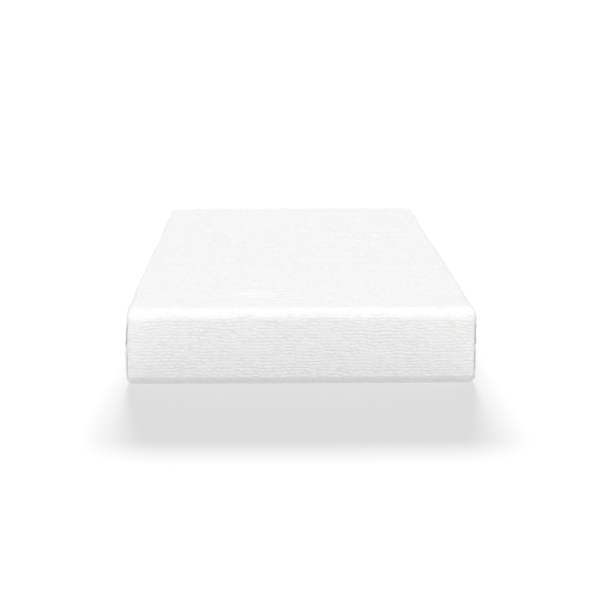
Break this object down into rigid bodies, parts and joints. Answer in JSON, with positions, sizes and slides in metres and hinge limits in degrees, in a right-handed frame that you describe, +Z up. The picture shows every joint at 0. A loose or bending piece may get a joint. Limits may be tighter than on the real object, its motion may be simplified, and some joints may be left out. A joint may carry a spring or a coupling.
{
  "type": "memory foam mattress",
  "caption": "Single foam mattress: bonded foam slabs in a knitted inner sleeve and a white relief-knit cover that zips round the head end and sides.",
  "frame": {"origin": "on the floor, under the middle of the mattress", "axes": "+X to the right seen from the foot end, +Y from the foot end to the head end, +Z up"},
  "size_m": [0.9031, 1.9, 0.2],
  "materials": {
    "cover_knit": "matte",
    "sleeve_knit": "matte",
    "memory_foam": "matte",
    "transition_foam": "matte",
    "support_foam": "matte",
    "zip_tape": "matte",
    "zip_nylon": "satin",
    "zip_metal": "satin",
    "label_satin": "satin"
  },
  "bodies": {
    "mattress": {"memory_foam_layer": "memory_foam", "transition_foam_layer": "transition_foam", "support_foam_core": "support_foam", "inner_sleeve": "sleeve_knit", "cover_main_panel": "cover_knit", "cover_side_upper_left": "cover_knit", "cover_side_lower_left": "cover_knit", "cover_side_upper_right": "cover_knit", "cover_side_lower_right": "cover_knit", "zip_tape_upper": "zip_tape", "zip_tape_lower": "zip_tape", "zip_coil_upper": "zip_nylon", "zip_coil_lower": "zip_nylon", "care_label": "label_satin"},
    "slider": {"zip_slider": "zip_metal"},
    "puller": {"zip_puller": "zip_metal"}
  },
  "joints": [
    {"name": "zip_run", "type": "slide", "parent": "mattress", "child": "slider", "axis": [0, 1, 0], "range_m": [0, 1.69]},
    {"name": "puller_flip", "type": "hinge", "parent": "slider", "child": "puller", "pos_m": [0.4511, -0.79, 0.1], "axis": [0, 0, -1], "range_deg": [0, 180]}
  ]
}
